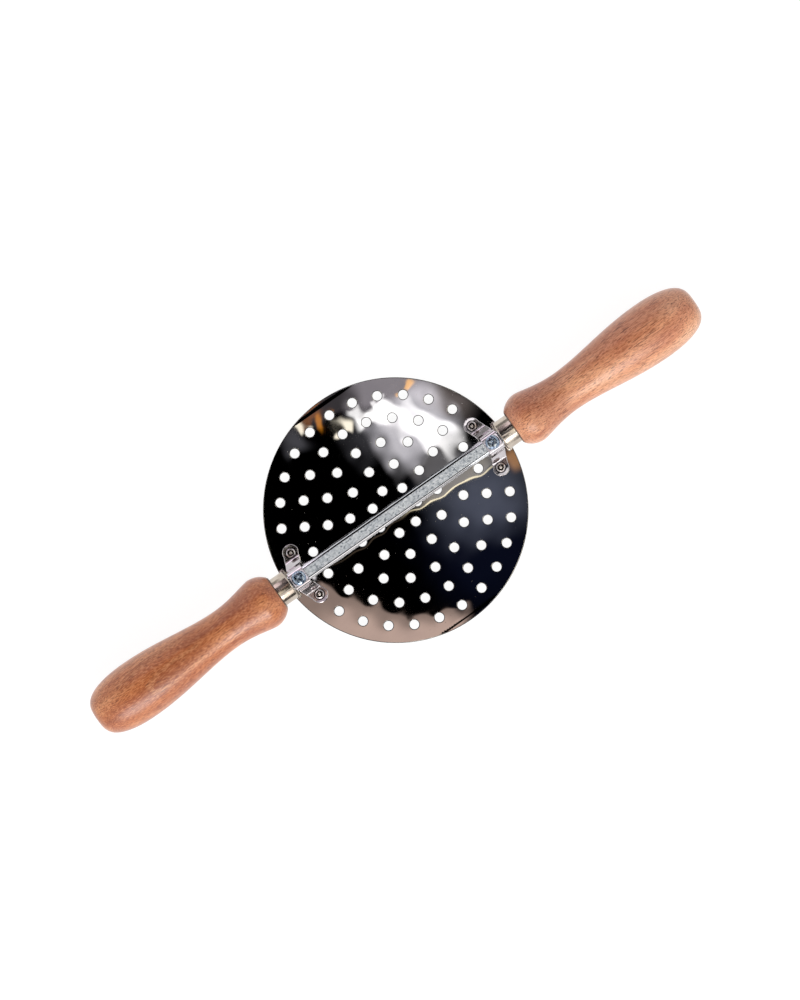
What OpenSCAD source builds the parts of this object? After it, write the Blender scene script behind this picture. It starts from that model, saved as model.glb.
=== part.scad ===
// Hand press for passatelli: a rolled, perforated disc under a square bar with a turned handle at each end.
// The bar runs along X, the disc's working side faces down, and the press stands on Z = 0.
// Left is -X, right is +X, front is -Y and rear is +Y. All sizes are in millimetres and degrees.

/* [Disc] */
// Diameter of the disc, seen from above
disc_d = 140; // [120:1:160]
// Thickness of the disc's sheet
disc_t = 1; // [0.8:0.1:1.5]
// Radius to which the sheet is rolled, at its upper face
roll_r = 400; // [300:10:900]
// Diameter of a die hole
hole_d = 5; // [4:0.1:6]
// Distance from the outer ring of holes to the rim
rim_margin = 9; // [8:0.5:12]

/* [Cross bar] */
// Width and height of the square bar
bar_w = 8; // [6:0.5:9]
// Diameter of the round tang at each end of the bar
tang_d = 6; // [5:0.5:7]
// Length of each tang
tang_len = 60; // [40:1:75]
// Room for the strands between the middle of the disc and the bar
strand_room = 14; // [6:0.5:20]

/* [Brackets] */
// Width of the bracket strap
strap_w = 9; // [7:0.5:11]
// Thickness of the bracket strap
strap_t = 1.2; // [0.8:0.1:1.6]
// Distance along the bar from the rivets to the middle of the strap's roof
strap_skew = 3.5; // [0:0.5:4]
// Room on the foot between the leg and the rivet's tail
rivet_room = 1.5; // [0.5:0.1:2]

/* [Clamp screws] */
// Thread diameter of a clamp screw
screw_d = 4; // [3:0.5:5]
// Length of a clamp screw under its head
screw_len = 7; // [5:0.5:8]
// Diameter of the screw's pan head
screw_head_d = 7.8; // [7:0.1:8.4]
// Height of the screw's pan head
screw_head_h = 2.4; // [2:0.1:3]
// Length of each arm pair of the cross recess
recess_len = 4.2; // [3:0.1:5]
// Width of the arms of the cross recess
recess_w = 1; // [0.8:0.1:1.4]
// Depth of the cross recess
recess_depth = 1.4; // [1:0.1:1.8]

/* [Rivets] */
// Distance from the rivets to the disc's rim
rivet_margin = 10.2; // [9:0.1:12]
// Diameter of a rivet's body
rivet_d = 3.2; // [2.8:0.1:4]
// Diameter of the rivet's head, under the disc
rivet_head_d = 6.4; // [5.5:0.1:8]
// Height of the rivet's head
rivet_head_h = 0.9; // [0.7:0.1:1.4]
// Diameter of the rivet's formed tail, on the bracket's foot
rivet_tail_d = 5; // [4.6:0.1:6]
// Height of the rivet's formed tail
rivet_tail_h = 1.5; // [1.2:0.1:2.5]
// Diameter of the cup in the tail round the mandrel's head
rivet_cup_d = 3.2; // [2.8:0.1:3.6]
// Depth of that cup
rivet_cup_depth = 0.7; // [0.5:0.1:0.9]
// Diameter of the mandrel's stem
mandrel_d = 1.5; // [1.2:0.1:1.8]
// Diameter of the mandrel's head
mandrel_head_d = 2.1; // [2:0.1:2.6]

/* [Ferrules] */
// Outer diameter of a ferrule
ferrule_d = 16.2; // [15:0.1:18]
// Length of a ferrule
ferrule_len = 8.5; // [7:0.5:14]
// Wall of a ferrule
ferrule_wall = 0.75; // [0.5:0.05:1]
// Rounding of the ferrule's closed end
ferrule_round = 0.9; // [0.5:0.1:1.5]
// Gap between a bracket and the ferrule beside it
ferrule_gap = 0.5; // [0.3:0.1:3]

/* [Handles] */
// Length of a handle's grip, from its shoulder to its end
handle_len = 115.3; // [95:0.1:140]
// Diameter of the bulb next to the ferrule
bulb_d = 28.8; // [25:0.1:32]
// Distance from the shoulder to the widest point of the bulb
bulb_at = 10; // [8:0.5:12]
// Diameter of the grip at its shoulder
shoulder_d = 18.8; // [18.2:0.1:22]
// Diameter of the waist
waist_d = 22.4; // [19:0.1:25]
// Distance from the shoulder to the waist
waist_at = 33.5; // [26:0.5:40]
// Diameter of the belly
belly_d = 32.4; // [28:0.1:38]
// Distance from the belly's widest point to the handle's end
belly_to_end = 26.8; // [20:0.1:35]
// Diameter of the flat at the handle's end
end_flat_d = 10; // [6:0.5:16]

/* [Fits] */
// Gap between faces that are clamped, riveted or driven together
seat_gap = 0.02; // [0.01:0.01:0.1]
// Radial gap of a driven tang, a pressed ferrule, a set rivet and a thread
press_gap = 0.05; // [0.02:0.01:0.1]
// Radial gap of a screw in its clearance hole
screw_gap = 0.25; // [0.1:0.05:0.4]
// Gap between the bar and the strap's inner faces, and between the bar and the ferrule's opening
bar_fit = 0.2; // [0.1:0.05:0.4]
// Free depth at the bottom of a blind hole
blind_gap = 0.5; // [0.2:0.1:1]

/* [Hidden] */

LEFT = -1;
RIGHT = 1;
FRONT = -1;
REAR = 1;

// Holes in each ring, from the inside out; every ring starts at the rear, square to the bar
ring_holes = [7, 11, 16, 22, 28];
// Turn of each clamp screw's cross recess, as it happened to be driven home
recess_turn_left = 20;
recess_turn_right = 55;
// A pan head is the middle of a cap this many times its width
pan_spread = 1.2;

// Facets of round pieces, of the rolled sheet and of small holes
round_facets = 96;
roll_facets = 1440;
hole_facets = 36;
// Steps along each curved stretch of the handle's outline, and round the strap's bend
outline_steps = 12;
bend_steps = 6;
// Extra length of a cut, so that it passes right through
cut = 1;

// The rivets stand one step of the outer ring to each side of the bar, in place of its holes
outer_r = disc_d / 2 - rim_margin;
ring_pitch = outer_r / len(ring_holes);
outer_holes = ring_holes[len(ring_holes) - 1];
rivet_turn = 360 / outer_holes;
rivet_r = disc_d / 2 - rivet_margin;
rivet_x = rivet_r * cos(rivet_turn);
rivet_y = rivet_r * sin(rivet_turn);
rivet_tilt = asin(rivet_y / roll_r);

// Heights on a rivet, measured from the sheet's upper face
tail_z = seat_gap + strap_t + seat_gap;
tail_top = tail_z + rivet_tail_h;
cup_z = tail_top - rivet_cup_depth;

// Radius of the ball whose top is a cap of the given width and height
function cap_radius(d, h) = (d * d / 4 + h * h) / (2 * h);

// How far the rivets' heads and the bellies reach below the middle of the disc's upper face
head_r = cap_radius(rivet_head_d, rivet_head_h);
head_depth = disc_t + seat_gap + rivet_head_h;
head_reach = head_r + (head_depth - head_r) * cos(rivet_tilt) - roll_r * (1 - cos(rivet_tilt));
belly_reach = belly_d / 2 - bar_w / 2 - strand_room;

// Heights: the press stands on what reaches lowest, which here are the rivets' heads
disc_top = max(head_reach, belly_reach);
roll_z = disc_top + roll_r;
axis_z = disc_top + strand_room + bar_w / 2;
bar_top = axis_z + bar_w / 2;
roof_z = bar_top + seat_gap;
head_z = roof_z + strap_t + seat_gap;

// Places along the bar, from the middle outwards
strap_x = rivet_x + strap_skew;
ferrule_x = strap_x + max(strap_w, screw_head_d) / 2 + ferrule_gap;
tenon_x = ferrule_x + ferrule_wall + seat_gap;
bar_half = tenon_x - seat_gap;
shoulder_x = ferrule_x + ferrule_len;

// The strap's inner bend, where the leg starts, and the foot, where the leg ends half way through the strap
bend_y = bar_w / 2 + bar_fit;
foot_y = rivet_y - rivet_tail_d / 2 - rivet_room - strap_t;
foot_r = strap_w / 2;
// The strap's straight sides run a little inside the foot's round end, so that they cross it
side_inset = 0.1;
side_r = foot_r - side_inset;
foot_roll_r = roll_r - seat_gap;
foot_middle = roll_z - sqrt(pow(foot_roll_r, 2) - pow(foot_y, 2)) + strap_t / 2;
leg_lean = atan((foot_y - bend_y) / (roof_z - foot_middle));
leg_band = strap_t / cos(leg_lean);

// Fits
tenon_d = ferrule_d - 2 * ferrule_wall - 2 * press_gap;
lip_hole_d = bar_w * sqrt(2) + 2 * bar_fit;
screw_hole_depth = screw_len - strap_t + blind_gap;
bore_depth = tang_len + blind_gap;

// Outline of the handle
bulb_drop = (bulb_d - shoulder_d) / 2;
bulb_round = (pow(bulb_at, 2) + pow(bulb_drop, 2)) / (2 * bulb_drop);
belly_at = handle_len - belly_to_end;
// Bias of the neck's and the swell's curves: below 1 they start steeper
neck_bias = 0.7;
swell_bias = 0.9;
// Exponents of the rounded nose, along and across
nose_along = 2.15;
nose_across = 3.5;
nose_share = pow(1 - pow(end_flat_d / belly_d, nose_across), 1 / nose_along);
nose_len = belly_to_end / nose_share;

// Touching point of the line from p to the circle round c; turn picks the side
function touch(p, c, r, turn) =
    let (v = p - c, a = atan2(v.y, v.x) + turn * acos(r / norm(v)))
    c + r * [cos(a), sin(a)];

// True where a hole of the outer ring gives its place to a rivet
function holds_rivet(ring, k) =
    ring == len(ring_holes) - 1 && abs(k % (outer_holes / 2) - outer_holes / 4) == 1;

// Places of the die holes, the middle one first
hole_places = concat([[0, 0]], [
    for (ring = [0 : len(ring_holes) - 1], k = [0 : ring_holes[ring] - 1])
        let (r = (ring + 1) * ring_pitch, a = 90 + k * 360 / ring_holes[ring])
        if (!holds_rivet(ring, k)) r * [cos(a), sin(a)]
]);

// Radius of the handle at a distance from its shoulder, stretch by stretch
function ease(u, bias) = (1 - cos(180 * pow(u, bias))) / 2;
function bulb_radius(t) = bulb_d / 2 - bulb_round + sqrt(pow(bulb_round, 2) - pow(bulb_at - t, 2));
function neck_radius(u) = bulb_d / 2 + (waist_d - bulb_d) / 2 * ease(u, neck_bias);
function swell_radius(u) = waist_d / 2 + (belly_d - waist_d) / 2 * ease(u, swell_bias);
function nose_radius(u) = belly_d / 2 * pow(1 - pow(u, nose_along), 1 / nose_across);

// Outline of the grip as [radius, distance from the shoulder]
steps = [1 : outline_steps];
grip_outline = concat(
    [[bulb_radius(0), 0]],
    [for (k = steps) let (t = bulb_at * k / outline_steps) [bulb_radius(t), t]],
    [for (k = steps) let (u = k / outline_steps) [neck_radius(u), bulb_at + u * (waist_at - bulb_at)]],
    [for (k = steps) let (u = k / outline_steps) [swell_radius(u), waist_at + u * (belly_at - waist_at)]],
    [for (k = steps)
        let (u = sin(asin(nose_share) * k / outline_steps))
        [nose_radius(u), belly_at + u * nose_len]]
);

// Lays a section drawn in Y and Z along the bar
module along_bar(length) {
    rotate([90, 0, 90])
        linear_extrude(height = length, center = true)
            children();
}

// Mirrors what is drawn on the right to the given side
module on_side(side) {
    mirror([side == LEFT ? 1 : 0, 0, 0])
        children();
}

// Turns a section drawn as [radius, distance] about the bar's axis
module turned(side, x) {
    on_side(side)
        translate([x, 0, axis_z])
            rotate([0, 90, 0])
                rotate_extrude($fn = round_facets)
                    children();
}

// Stands children on the sheet's upper face at a rivet, square to the sheet
module at_rivet(side, row) {
    translate([side * rivet_x, 0, roll_z])
        rotate([row * rivet_tilt, 0, 0])
            translate([0, 0, -roll_r])
                children();
}

// Sheet rolled about an axis above the disc, as a whole tube along the bar
module rolled_tube(inner_r, thickness) {
    length = 2 * disc_d;
    translate([0, 0, roll_z])
        rotate([0, 90, 0])
            difference() {
                cylinder(r = inner_r + thickness, h = length, center = true, $fn = roll_facets);
                cylinder(r = inner_r, h = length + 2 * cut, center = true, $fn = roll_facets);
            }
}

// Low round cap standing on Z = 0
module cap(d, h) {
    r = cap_radius(d, h);
    intersection() {
        translate([0, 0, h - r]) sphere(r = r, $fn = round_facets);
        cylinder(d = d + cut, h = h + cut, $fn = round_facets);
    }
}

module perforated_disc() {
    below = disc_top - disc_t - cut;
    // Well above the rolled-up edges
    rise = disc_d / 2;
    color("silver")
        difference() {
            intersection() {
                rolled_tube(roll_r, disc_t);
                translate([0, 0, below])
                    cylinder(d = disc_d, h = rise, $fn = 2 * round_facets);
            }
            for (place = hole_places)
                translate([place.x, place.y, below])
                    cylinder(d = hole_d, h = rise, $fn = hole_facets);
            for (side = [LEFT, RIGHT], row = [FRONT, REAR])
                at_rivet(side, row)
                    translate([0, 0, -disc_t - cut])
                        cylinder(d = rivet_d + 2 * press_gap, h = disc_t + 2 * cut, $fn = hole_facets);
        }
}

module cross_bar() {
    color("lightsteelblue")
        difference() {
            union() {
                translate([-bar_half, -bar_w / 2, axis_z - bar_w / 2]) cube([2 * bar_half, bar_w, bar_w]);
                for (side = [LEFT, RIGHT])
                    on_side(side)
                        translate([bar_half - cut, 0, axis_z])
                            rotate([0, 90, 0])
                                cylinder(d = tang_d, h = tang_len + cut, $fn = round_facets);
            }
            for (side = [LEFT, RIGHT])
                translate([side * strap_x, 0, bar_top - screw_hole_depth])
                    cylinder(d = screw_d, h = screw_hole_depth + cut, $fn = hole_facets);
        }
}

// Rear half of the strap before its sides are cut: half the roof, its bend, the leg and the foot
module strap_half() {
    bend_arc = [for (k = [0 : bend_steps])
        let (a = leg_lean + (90 - leg_lean) * k / bend_steps)
        [bend_y, roof_z] + strap_t * [cos(a), sin(a)]];
    along_bar(2 * disc_d)
        polygon(concat(
            [[-cut, roof_z], [bend_y, roof_z], [foot_y, foot_middle], [foot_y + leg_band, foot_middle]],
            bend_arc,
            [[-cut, roof_z + strap_t]]
        ));
    intersection() {
        rolled_tube(foot_roll_r - strap_t, strap_t);
        translate([0, foot_y, 0]) cube([disc_d, rivet_y + strap_w, roof_z]);
    }
}

// Half of the strap seen from above, on the right rear side, with a round foot on the rivet
module strap_half_plan() {
    rivet = [rivet_x, rivet_y];
    inner = [strap_x - strap_w / 2, bend_y + strap_t];
    outer = [strap_x + strap_w / 2, bend_y + strap_t];
    translate([strap_x - strap_w / 2, -cut]) square([strap_w, bend_y + strap_t + cut]);
    polygon([inner, outer, touch(outer, rivet, side_r, 1), rivet, touch(inner, rivet, side_r, -1)]);
    translate(rivet) circle(r = foot_r, $fn = round_facets);
}

module bracket(side) {
    color("gainsboro")
        difference() {
            on_side(side)
                for (row = [0, 1])
                    mirror([0, row, 0])
                        intersection() {
                            strap_half();
                            linear_extrude(height = roof_z + 2 * strap_t) strap_half_plan();
                        }
            translate([side * strap_x, 0, roof_z - cut])
                cylinder(d = screw_d + 2 * screw_gap, h = strap_t + 2 * cut, $fn = hole_facets);
            for (row = [FRONT, REAR])
                at_rivet(side, row)
                    translate([0, 0, -cut])
                        cylinder(d = rivet_d + 2 * press_gap, h = strap_t + 2 * cut, $fn = hole_facets);
        }
}

module clamp_screw(side, recess_turn) {
    color("slategray")
        translate([side * strap_x, 0, head_z])
            difference() {
                union() {
                    intersection() {
                        cap(pan_spread * screw_head_d, screw_head_h);
                        cylinder(d = screw_head_d, h = screw_head_h, $fn = round_facets);
                    }
                    translate([0, 0, -screw_len])
                        cylinder(d = screw_d - 2 * press_gap, h = screw_len + seat_gap, $fn = hole_facets);
                }
                for (arm = [0, 90])
                    rotate(recess_turn + arm)
                        translate([-recess_len / 2, -recess_w / 2, screw_head_h - recess_depth])
                            cube([recess_len, recess_w, recess_depth + cut]);
            }
}

module rivet(side, row) {
    edge = rivet_tail_h / 2;
    tail_r = rivet_tail_d / 2;
    bore_len = tail_top + disc_t + rivet_head_h + 2 * cut;
    color("darkgray")
        at_rivet(side, row)
            difference() {
                union() {
                    translate([0, 0, -disc_t - seat_gap]) mirror([0, 0, 1]) cap(rivet_head_d, rivet_head_h);
                    translate([0, 0, -disc_t - 2 * seat_gap])
                        cylinder(d = rivet_d, h = disc_t + tail_z + 3 * seat_gap, $fn = hole_facets);
                    translate([0, 0, tail_z])
                        rotate_extrude($fn = round_facets) {
                            square([tail_r - edge, rivet_tail_h]);
                            translate([tail_r - edge, edge]) circle(r = edge, $fn = round_facets);
                        }
                }
                translate([0, 0, -disc_t - rivet_head_h - cut])
                    cylinder(d = mandrel_d + 2 * press_gap, h = bore_len, $fn = hole_facets);
                translate([0, 0, cup_z])
                    cylinder(d = rivet_cup_d, h = rivet_cup_depth + cut, $fn = hole_facets);
            }
}

module mandrel(side, row) {
    stem_len = cup_z + disc_t + blind_gap + 2 * seat_gap;
    color("gray")
        at_rivet(side, row) {
            translate([0, 0, cup_z + seat_gap]) cap(mandrel_head_d, rivet_cup_depth);
            translate([0, 0, -disc_t - blind_gap])
                cylinder(d = mandrel_d, h = stem_len, $fn = hole_facets);
        }
}

module ferrule(side) {
    outer = ferrule_d / 2;
    length = ferrule_len - seat_gap;
    color("tan")
        turned(side, ferrule_x)
            difference() {
                union() {
                    translate([0, ferrule_round]) square([outer, length - ferrule_round]);
                    square([outer - ferrule_round, length]);
                    translate([outer - ferrule_round, ferrule_round])
                        circle(r = ferrule_round, $fn = round_facets);
                }
                translate([-cut, ferrule_wall]) square([tenon_d / 2 + press_gap + cut, ferrule_len]);
                translate([-cut, -cut]) square([lip_hole_d / 2 + cut, ferrule_len]);
            }
}

module handle(side) {
    tenon_len = shoulder_x - tenon_x;
    color("peru")
        difference() {
            turned(side, shoulder_x)
                polygon(concat(
                    [[0, -tenon_len], [tenon_d / 2, -tenon_len], [tenon_d / 2, 0]],
                    grip_outline,
                    [[0, handle_len]]
                ));
            on_side(side)
                translate([tenon_x - cut, 0, axis_z])
                    rotate([0, 90, 0])
                        cylinder(d = tang_d + 2 * press_gap, h = bore_depth + cut, $fn = round_facets);
        }
}

perforated_disc();
cross_bar();
bracket(LEFT);  // left_bracket
bracket(RIGHT);  // right_bracket
clamp_screw(LEFT, recess_turn_left);  // left_clamp_screw
clamp_screw(RIGHT, recess_turn_right);  // right_clamp_screw
rivet(LEFT, REAR);  // left_rear_rivet
rivet(LEFT, FRONT);  // left_front_rivet
rivet(RIGHT, REAR);  // right_rear_rivet
rivet(RIGHT, FRONT);  // right_front_rivet
mandrel(LEFT, REAR);  // left_rear_mandrel
mandrel(LEFT, FRONT);  // left_front_mandrel
mandrel(RIGHT, REAR);  // right_rear_mandrel
mandrel(RIGHT, FRONT);  // right_front_mandrel
ferrule(LEFT);  // left_ferrule
ferrule(RIGHT);  // right_ferrule
handle(LEFT);  // left_handle
handle(RIGHT);  // right_handle
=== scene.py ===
# Looks of the passatelli press: finished meshes, materials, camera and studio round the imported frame.
import math

import bmesh
import bpy
import numpy as np
from mathutils import Euler, Matrix, Vector
from mathutils.geometry import delaunay_2d_cdt


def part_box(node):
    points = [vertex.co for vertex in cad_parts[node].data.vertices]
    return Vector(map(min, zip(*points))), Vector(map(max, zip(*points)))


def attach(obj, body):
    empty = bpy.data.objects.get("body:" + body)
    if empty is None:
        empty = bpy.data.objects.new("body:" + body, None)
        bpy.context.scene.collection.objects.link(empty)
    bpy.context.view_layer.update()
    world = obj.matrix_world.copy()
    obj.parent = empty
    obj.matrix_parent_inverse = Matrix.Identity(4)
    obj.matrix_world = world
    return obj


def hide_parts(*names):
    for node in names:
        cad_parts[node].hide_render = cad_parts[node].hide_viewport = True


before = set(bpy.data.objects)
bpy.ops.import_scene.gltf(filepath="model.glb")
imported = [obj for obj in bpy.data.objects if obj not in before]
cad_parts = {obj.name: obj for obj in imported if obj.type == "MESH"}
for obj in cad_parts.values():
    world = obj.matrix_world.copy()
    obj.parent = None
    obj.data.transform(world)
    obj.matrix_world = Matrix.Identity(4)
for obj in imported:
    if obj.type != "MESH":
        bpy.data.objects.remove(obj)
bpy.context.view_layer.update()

MM = 0.001
RIGHT = 1
LEFT = -1
REAR = 1
FRONT = -1
SIDES = {"left": LEFT, "right": RIGHT}
ROWS = {"rear": REAR, "front": FRONT}

# Places read from the frame
DISC_LOW, DISC_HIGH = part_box("perforated_disc")
BAR_LOW, BAR_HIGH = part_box("cross_bar")
SCREW_LOW, SCREW_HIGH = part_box("right_clamp_screw")
FERRULE_LOW, FERRULE_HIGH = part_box("right_ferrule")
HANDLE_LOW, HANDLE_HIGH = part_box("right_handle")
AXIS_Z = (BAR_LOW.z + BAR_HIGH.z) / 2

# The rolled, perforated sheet
DISC_R = DISC_HIGH.x
SHEET_T = 1.0 * MM
DISC_TOP = DISC_LOW.z + SHEET_T
ROLL_R = 400 * MM
CREASE_Y = 67.5 * MM
HOLE_R = 2.5 * MM
RING_HOLES = (7, 11, 16, 22, 28)
RING_R = DISC_R - 9 * MM
CREASE_STEP = 0.048 * MM
CREASE_WIDTH = 0.15 * MM
SHEET_EDGE = 0.4 * MM
DIMPLE_DEPTH = 0.02 * MM
DIMPLE_SPREAD = 2.7 * MM

# Rivets and mandrels
RIVET_R = DISC_R - 10.2 * MM
RIVET_TURN = 2 * math.pi / RING_HOLES[-1]
RIVET_X = RIVET_R * math.cos(RIVET_TURN)
RIVET_Y = RIVET_R * math.sin(RIVET_TURN)
RIVET_TILT = math.asin(RIVET_Y / ROLL_R)
RIVET_BODY_R = 1.6 * MM
RIVET_HOLE_R = 1.65 * MM
RIVET_HEAD_R = 3.2 * MM
RIVET_HEAD_H = 0.9 * MM
RIVET_TAIL_R = 2.5 * MM
RIVET_TAIL_H = 1.5 * MM
CUP_R = 1.6 * MM
CUP_DEPTH = 0.7 * MM
# Width of the dark ring round each rivet tail on the straps: painted contact shadow with some grime
RIVET_SHADE_W = 0.8 * MM
MANDREL_R = 0.75 * MM
MANDREL_HEAD_R = 1.05 * MM
MANDREL_REACH = 0.5 * MM
# Waves that pull a set tail out of round, as share, lobes and turn, and their turns by side and row
TAIL_WAVES = ((0.025, 3, 1), (0.018, 5, -2))
TAIL_TURNS = (1.3, 2.1)
# Gaps between pieces that rest on each other, and round those that are driven in
SEAT = 0.02 * MM
FIT = 0.05 * MM

# Bracket straps
STRAP_W = 9 * MM
STRAP_T = 1.2 * MM
STRAP_X = (SCREW_LOW.x + SCREW_HIGH.x) / 2
STRAP_EDGE = 0.35 * MM
TOE_CURL_R = 41 * MM
ROOF_BEND_R = 2.5 * MM
SHIN_BEND_R = 2.0 * MM
FOOT_BEND_R = 1.6 * MM
BAR_W = BAR_HIGH.y - BAR_LOW.y
BAR_FIT = 0.2 * MM
LEG_TOP_Y = BAR_W / 2 + BAR_FIT
HEEL_Y = RIVET_Y - RIVET_TAIL_R - 1.0 * MM
SHIN_RISE = 3.6 * MM
ROOF_Z = BAR_HIGH.z + SEAT

# Clamp screws
SCREW_HOLE_R = 2.25 * MM
SCREW_HEAD_R = (SCREW_HIGH.x - SCREW_LOW.x) / 2
SCREW_HEAD_H = 2.4 * MM
SCREW_BODY_R = 1.95 * MM
SCREW_SEAT_Z = SCREW_HIGH.z - SCREW_HEAD_H
PAN_RIM_H = 0.9 * MM
RECESS_HALF = 2.1 * MM
RECESS_W = 1.0 * MM
RECESS_DEPTH = 1.3 * MM
RECESS_TURN = {"left": 20, "right": 55}

# Bar
BAR_EDGE = 1.6 * MM
TANG_R = 3.0 * MM
TANG_LEN = 60 * MM

# Ferrules
FERRULE_R = (FERRULE_HIGH.y - FERRULE_LOW.y) / 2
FERRULE_LEN = FERRULE_HIGH.x - FERRULE_LOW.x
FERRULE_WALL = 0.75 * MM
FERRULE_ROUND = 0.9 * MM
LIP_HOLE_R = BAR_W * math.sqrt(2) / 2 + BAR_FIT
TENON_R = FERRULE_R - FERRULE_WALL - FIT

# Turned handles, measured from the shoulder
SHOULDER_X = FERRULE_HIGH.x + SEAT
GRIP_LEN = HANDLE_HIGH.x - SHOULDER_X
TENON_LEN = SHOULDER_X - HANDLE_LOW.x
BELLY_R = (HANDLE_HIGH.z - HANDLE_LOW.z) / 2
BULB_R = 14.4 * MM
BULB_AT = 10 * MM
SHOULDER_R = 9.4 * MM
WAIST_R = 11.2 * MM
WAIST_AT = 33.5 * MM
BELLY_AT = GRIP_LEN - 26.8 * MM
END_FLAT_R = 5 * MM
# Width of the painted shadow line on the wood at its shoulder, beside the ferrule
JOINT_SHADE_W = 0.7 * MM
# Bands along the bar where the belly shows its rings and where painted shade darkens the neck: start, full,
# last and end
BELLY_BAND = (0.108, 0.132, 0.162, 0.176)
NECK_SHADE_BAND = (0.08, 0.096, 0.1, 0.114)

# Camera: straight down, turned so that the bar climbs to the right, as in the photograph
VIEW_TURN = 35.0
VIEW_HEIGHT = 2.5
FRAME_HEIGHT = 0.5275
VIEW_X = 4.9 * MM
VIEW_Y = 3.1 * MM
SENSOR = 36.0


# Mesh helpers

def smooth_mesh(name, points, faces, normals=None, sharp_angle=35):
    """A smooth mesh, with given normals or with sharp edges above an angle in degrees."""
    mesh = bpy.data.meshes.new(name)
    mesh.from_pydata([tuple(p) for p in points], [], faces)
    if normals is None:
        shell = bmesh.new()
        shell.from_mesh(mesh)
        bmesh.ops.recalc_face_normals(shell, faces=shell.faces)
        shell.to_mesh(mesh)
        shell.free()
    mesh.polygons.foreach_set("use_smooth", [True] * len(mesh.polygons))
    if normals is None:
        mesh.set_sharp_from_angle(angle=math.radians(sharp_angle))
    else:
        mesh.normals_split_custom_set_from_vertices([tuple(n) for n in normals])
    mesh.update()
    return mesh


def placed(name, data):
    """A new object in the scene."""
    made = bpy.data.objects.new(name, data)
    bpy.context.scene.collection.objects.link(made)
    return made


def show(node, mesh, slot, material=None):
    """Shows a finished mesh in place of a node of the frame, in its slot's finish or in one of its own."""
    piece = placed(node + "_finished", mesh)
    mesh.materials.append(material or FINISHES[slot])
    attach(piece, "root")
    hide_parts(node)


def lathe(name, profile, segments, place, closed=False, shape=None, sharp_angle=35):
    """A mesh of (radius, height) points turned about Z, changed with shape and put in place."""
    points, rings = [], []
    for radius, height in profile:
        count = 1 if radius < 1e-9 else segments
        ring = []
        for k in range(count):
            angle = 2 * math.pi * k / segments
            point = Vector((radius * math.cos(angle), radius * math.sin(angle), height))
            if shape:
                point = shape(point)
            ring.append(len(points))
            points.append(place @ point)
        rings.append(ring)
    pairs = list(zip(rings, rings[1:]))
    if closed:
        pairs.append((rings[-1], rings[0]))
    faces = []
    for low, high in pairs:
        for k in range(segments):
            after = (k + 1) % segments
            face = [low[k % len(low)], low[after % len(low)], high[after % len(high)], high[k % len(high)]]
            face = list(dict.fromkeys(face))
            if len(face) > 2:
                faces.append(face)
    return smooth_mesh(name, points, faces, sharp_angle=sharp_angle)


def moved(point, heading, distance):
    """A flat point, moved along a heading."""
    return point[0] + distance * math.cos(heading), point[1] + distance * math.sin(heading)


def arc(centre, radius, start, end, steps):
    """Points (r, z) on an arc, from start to end in degrees."""
    angles = [math.radians(start + (end - start) * k / steps) for k in range(steps + 1)]
    return [moved(centre, angle, radius) for angle in angles]


def along_bar(side, x):
    """Stands a lathe's Z axis along the bar, from x outwards on the given side."""
    axes = Matrix(((0, 0, side, 0), (0, 1, 0, 0), (-1, 0, 0, 0), (0, 0, 0, 1)))
    return Matrix.Translation((side * x, 0, AXIS_Z)) @ axes


def turns_left(loop):
    """True if the loop runs anticlockwise."""
    x, y = loop[:, 0], loop[:, 1]
    return bool(np.sum(x * np.roll(y, -1) - y * np.roll(x, -1)) > 0)


def outward(loop, hole):
    """Unit vectors that point away from the material at each point of a loop."""
    ahead = np.roll(loop, -1, axis=0) - np.roll(loop, 1, axis=0)
    ahead /= np.linalg.norm(ahead, axis=1)[:, None]
    turn = 1 if turns_left(loop) != hole else -1
    return turn * np.stack([ahead[:, 1], -ahead[:, 0]], axis=1)


def inside(point, loop):
    """True if the point lies inside the loop."""
    ahead = np.roll(loop, -1, axis=0)
    crossed = (loop[:, 1] > point[1]) != (ahead[:, 1] > point[1])
    rise = np.where(crossed, ahead[:, 1] - loop[:, 1], 1.0)
    at = loop[:, 0] + (point[1] - loop[:, 1]) / rise * (ahead[:, 0] - loop[:, 0])
    return bool(np.count_nonzero(crossed & (point[0] < at)) % 2)


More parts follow.
